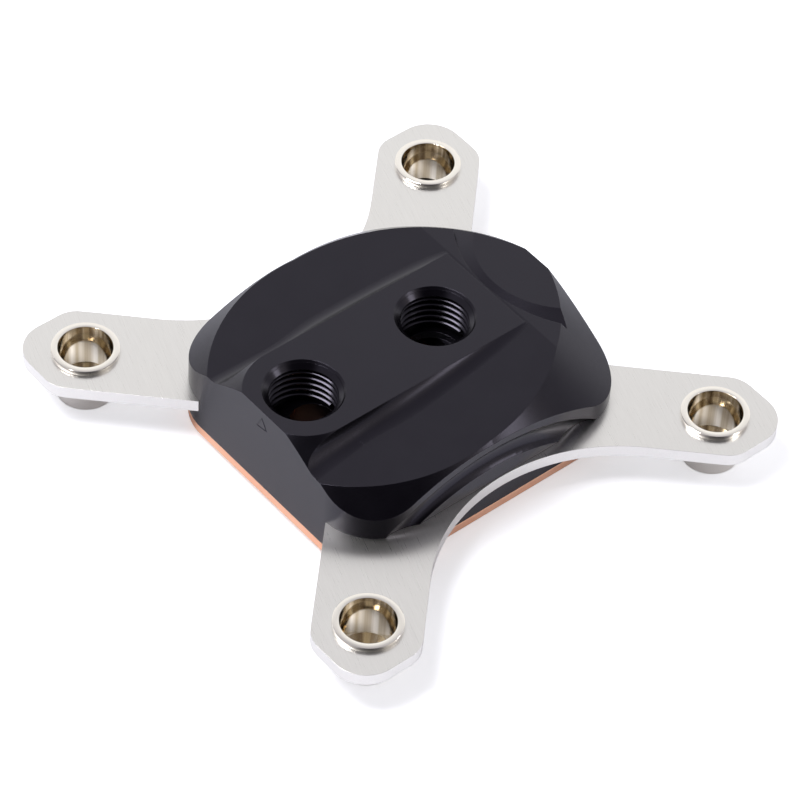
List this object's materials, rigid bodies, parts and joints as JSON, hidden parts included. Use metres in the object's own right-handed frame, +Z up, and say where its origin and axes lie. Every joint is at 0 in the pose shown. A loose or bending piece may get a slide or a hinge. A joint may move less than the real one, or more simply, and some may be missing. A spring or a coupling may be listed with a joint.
{
  "type": "liquid cooling cold plate",
  "caption": "Processor water block: a milled black cover with threaded hose ports over a copper base, held by steel bracket halves whose diagonal arms carry flanged sleeves.",
  "frame": {"origin": "centre of the cold face, the flat underside of the copper base", "axes": "+Z up out of the cold face to the hose ports, +X from the outlet port to the inlet port, +Y across the block"},
  "size_m": [0.0936, 0.0936, 0.0209],
  "materials": {
    "black_acetal": "satin black acetal, milled and bead blasted",
    "bare_copper": "bare copper, lapped underside",
    "stainless_sheet": "plain stainless sheet",
    "silicone": "matt red-brown silicone",
    "black_rubber": "matt black nitrile rubber",
    "brushed_stainless": "fine brushed stainless steel",
    "nickel_plate": "bright nickel plate on turned brass",
    "screw_steel": "plain stainless screw"
  },
  "bodies": {
    "root": {"cover": "black_acetal", "cold_plate": "bare_copper", "jet_plate": "stainless_sheet", "inlet_gasket": "silicone", "main_seal": "black_rubber", "bracket_front": "brushed_stainless", "bracket_rear": "brushed_stainless", "sleeve_front_left": "nickel_plate", "sleeve_front_right": "nickel_plate", "sleeve_rear_left": "nickel_plate", "sleeve_rear_right": "nickel_plate", "base_screw_1": "screw_steel", "base_screw_2": "screw_steel", "base_screw_3": "screw_steel", "base_screw_4": "screw_steel", "base_screw_5": "screw_steel", "base_screw_6": "screw_steel", "base_screw_7": "screw_steel", "base_screw_8": "screw_steel", "base_screw_9": "screw_steel", "base_screw_10": "screw_steel"}
  },
  "joints": []
}
